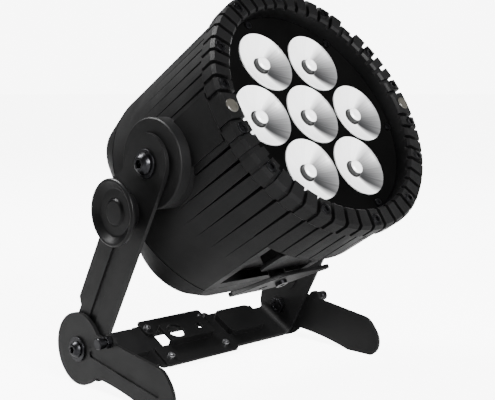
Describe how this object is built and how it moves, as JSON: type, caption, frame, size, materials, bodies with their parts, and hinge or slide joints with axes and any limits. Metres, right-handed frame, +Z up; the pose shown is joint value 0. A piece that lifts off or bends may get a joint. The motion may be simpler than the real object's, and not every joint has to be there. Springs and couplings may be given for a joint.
{
  "type": "par can light",
  "caption": "Compact stage wash light: finned round head with a cluster of lenses, tilting in a U yoke that stands on two folding feet.",
  "frame": {"origin": "on the floor at the centre of the overall footprint, below the tilt axis", "axes": "+Z up; +X along the tilt axis, to the right seen from the lens side's back; the lenses face -Y and upwards"},
  "size_m": [0.2138, 0.1924, 0.2495],
  "materials": {
    "black_cast": "fine textured satin black powder coat on cast aluminium",
    "front_black": "smooth matte black coat",
    "black_bracket": "satin black powder coat on steel",
    "black_screw": "black oxide steel screws",
    "zinc_screw": "dark zinc plated small screws",
    "knob": "satin black moulded knob",
    "lens": "clear moulded optic with a silvery look",
    "window": "grey tinted sensor window",
    "seal": "black silicone",
    "nylon": "black nylon washer",
    "bare_aluminium": "milled",
    "board": "green circuit board",
    "led": "LED emitters",
    "battery": "shrink wrapped cells",
    "display": "dark display window",
    "button": "black rubber key",
    "socket": "black moulded connector"
  },
  "bodies": {
    "yoke": {"yoke_bracket": "black_bracket", "clamp_plate": "black_bracket", "clamp_plate_screws": "zinc_screw", "foot_washers": "black_screw", "foot_bolts": "black_screw", "foot_nuts": "black_screw", "lock_bushes": "black_screw"},
    "foot_left": {"foot_left": "black_bracket", "plunger_sleeve_left": "black_screw"},
    "plunger_left": {"foot_plunger_left": "black_screw"},
    "lock_left": {"lock_knob_left": "knob", "lock_stud_left": "black_screw"},
    "foot_right": {"foot_right": "black_bracket", "plunger_sleeve_right": "black_screw"},
    "plunger_right": {"foot_plunger_right": "black_screw"},
    "lock_right": {"lock_knob_right": "knob", "lock_stud_right": "black_screw"},
    "button_1": {"button_1": "button"},
    "button_2": {"button_2": "button"},
    "button_3": {"button_3": "button"},
    "button_4": {"button_4": "button"},
    "head": {"access_cover": "black_cast", "anchor_bar": "black_bracket", "anchor_screw": "black_screw", "battery_pack": "battery", "bezel_ring": "black_cast", "bezel_screws": "black_screw", "board_posts": "bare_aluminium", "data_in_socket": "socket", "data_out_socket": "socket", "display_window": "display", "driver_board": "board", "friction_washers": "nylon", "front_seal": "seal", "heat_spreader": "bare_aluminium", "housing": "black_cast", "led_board": "board", "leds": "led", "lens_1": "lens", "lens_2": "lens", "lens_3": "lens", "lens_4": "lens", "lens_5": "lens", "lens_6": "lens", "lens_7": "lens", "lens_holders": "nylon", "lens_plate": "front_black", "lens_plate_screws": "black_screw", "pivot_bolt_left": "black_screw", "pivot_bolt_right": "black_screw", "pivot_washers": "black_screw", "power_inlet": "socket", "rear_cover": "black_cast", "rear_cover_screws": "black_screw", "sensor_window_left": "window", "sensor_window_right": "window", "side_boss_left": "front_black", "side_boss_right": "front_black"}
  },
  "joints": [
    {"name": "head_tilt", "type": "hinge", "parent": "yoke", "child": "head", "pos_m": [0, 0.0024, 0.14551], "axis": [1, 0, 0], "range_deg": [-90, 120]},
    {"name": "foot_fold_left", "type": "hinge", "parent": "yoke", "child": "foot_left", "pos_m": [-0.0945, 0.07003, 0.0235], "axis": [1, 0, 0], "range_deg": [-48, 90]},
    {"name": "plunger_pull_left", "type": "slide", "parent": "foot_left", "child": "plunger_left", "axis": [-1, 0, 0], "range_m": [0, 0.004], "stiffness_N_per_m": 400},
    {"name": "lock_turn_left", "type": "hinge", "parent": "yoke", "child": "lock_left", "pos_m": [-0.093, 0.0184, 0.11665], "axis": [1, 0, 0], "continuous": true},
    {"name": "foot_fold_right", "type": "hinge", "parent": "yoke", "child": "foot_right", "pos_m": [0.0945, 0.07003, 0.0235], "axis": [1, 0, 0], "range_deg": [-48, 90]},
    {"name": "plunger_pull_right", "type": "slide", "parent": "foot_right", "child": "plunger_right", "axis": [1, 0, 0], "range_m": [0, 0.004], "stiffness_N_per_m": 400},
    {"name": "lock_turn_right", "type": "hinge", "parent": "yoke", "child": "lock_right", "pos_m": [0.093, 0.0184, 0.11665], "axis": [1, 0, 0], "continuous": true},
    {"name": "button_press_1", "type": "slide", "parent": "head", "child": "button_1", "axis": [0, -0.8536, 0.521], "range_m": [0, 0.001], "stiffness_N_per_m": 600},
    {"name": "button_press_2", "type": "slide", "parent": "head", "child": "button_2", "axis": [0, -0.8536, 0.521], "range_m": [0, 0.001], "stiffness_N_per_m": 600},
    {"name": "button_press_3", "type": "slide", "parent": "head", "child": "button_3", "axis": [0, -0.8536, 0.521], "range_m": [0, 0.001], "stiffness_N_per_m": 600},
    {"name": "button_press_4", "type": "slide", "parent": "head", "child": "button_4", "axis": [0, -0.8536, 0.521], "range_m": [0, 0.001], "stiffness_N_per_m": 600}
  ]
}
